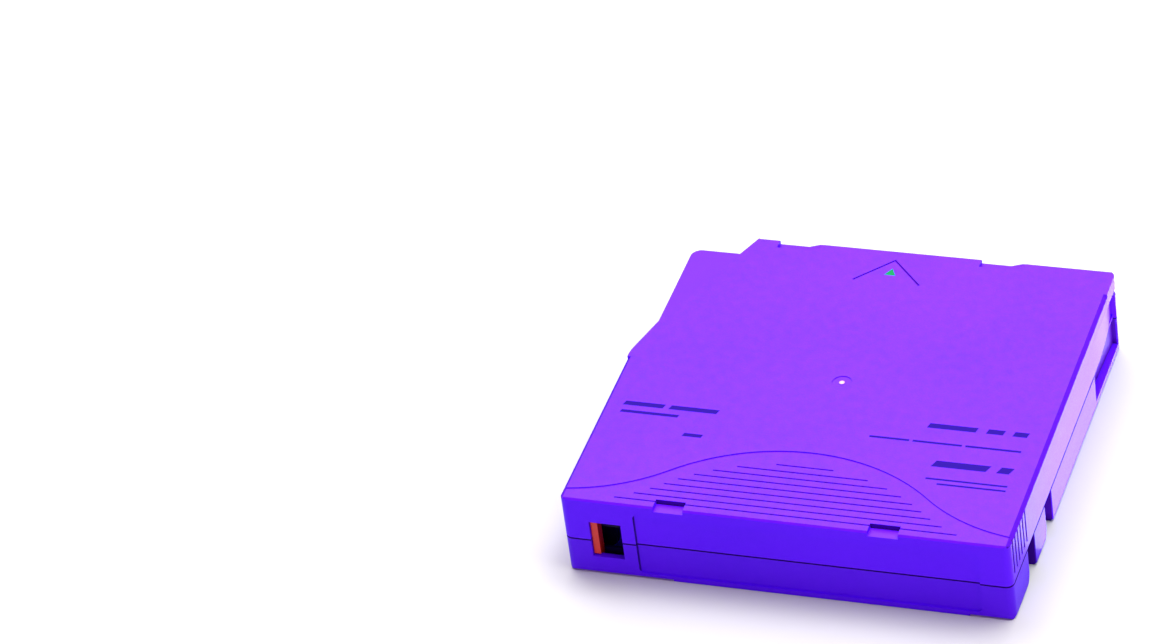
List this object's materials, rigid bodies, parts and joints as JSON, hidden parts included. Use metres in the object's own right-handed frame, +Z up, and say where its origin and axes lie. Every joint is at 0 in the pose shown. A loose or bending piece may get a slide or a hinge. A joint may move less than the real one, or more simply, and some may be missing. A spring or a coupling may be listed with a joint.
{
  "type": "data tape cartridge",
  "caption": "Flat square violet case with a reel of magnetic tape inside, a sliding door at one corner, a write-protect slider and a spindle opening below.",
  "frame": {"origin": "centre of the case's outline, on the underside", "axes": "+X along the label face to the right as seen from the label, +Y from the label face to the insertion face, +Z up through the thickness"},
  "size_m": [0.1054, 0.102, 0.0215],
  "materials": {
    "violet_shell": "fine matt grain",
    "orange_tab": "smooth",
    "door_plastic": "smooth",
    "steel": "turned and polished",
    "spring_steel": "drawn wire and strip",
    "clip_plastic": "smooth",
    "tape_film": "glossy film",
    "tape_roll": "edges of the wound tape",
    "reel_plastic": "milky",
    "flange_plastic": "milky",
    "magnet_plate": "stamped",
    "brake_plastic": "smooth",
    "release_plastic": "smooth",
    "circuit_board": "solder mask",
    "copper": "etched copper",
    "chip_resin": "moulded resin",
    "screw_steel": "zinc plated"
  },
  "bodies": {
    "case": {"upper_shell": "violet_shell", "lower_shell": "violet_shell", "leader_pin": "steel", "pin_clip": "clip_plastic", "pin_spring": "spring_steel", "leader_tape": "tape_film", "memory_board": "circuit_board", "memory_coil": "copper", "memory_chip": "chip_resin", "shell_screws": "screw_steel", "door_spring": "spring_steel", "brake_spring": "spring_steel"},
    "reel": {"reel_hub": "reel_plastic", "reel_flange": "flange_plastic", "reel_plate": "magnet_plate", "tape_pack": "tape_roll"},
    "door": {"access_door": "door_plastic"},
    "tab": {"write_protect_tab": "orange_tab"},
    "brake": {"brake_gear": "brake_plastic", "thrust_ball": "steel"},
    "release": {"release_plate": "release_plastic"}
  },
  "joints": [
    {"name": "reel_spin", "type": "hinge", "parent": "case", "child": "reel", "pos_m": [0, 0, 0.0096], "axis": [0, 0, 1], "continuous": true},
    {"name": "door_slide", "type": "slide", "parent": "case", "child": "door", "axis": [0, -1, 0], "range_m": [0, 0.027], "stiffness_N_per_m": 12, "springref_m": -0.02, "deforming": ["door_spring"]},
    {"name": "write_protect_slide", "type": "slide", "parent": "case", "child": "tab", "axis": [1, 0, 0], "range_m": [0, 0.0057]},
    {"name": "brake_lift", "type": "slide", "parent": "case", "child": "brake", "axis": [0, 0, 1], "range_m": [0, 0.002], "stiffness_N_per_m": 800, "springref_m": -0.004, "deforming": ["brake_spring"]},
    {"name": "release_lift", "type": "slide", "parent": "reel", "child": "release", "axis": [0, 0, 1], "range_m": [0, 0.002]}
  ],
  "couplings": [
    {"joint": "release_lift", "follows": "brake_lift", "ratio": 1}
  ]
}
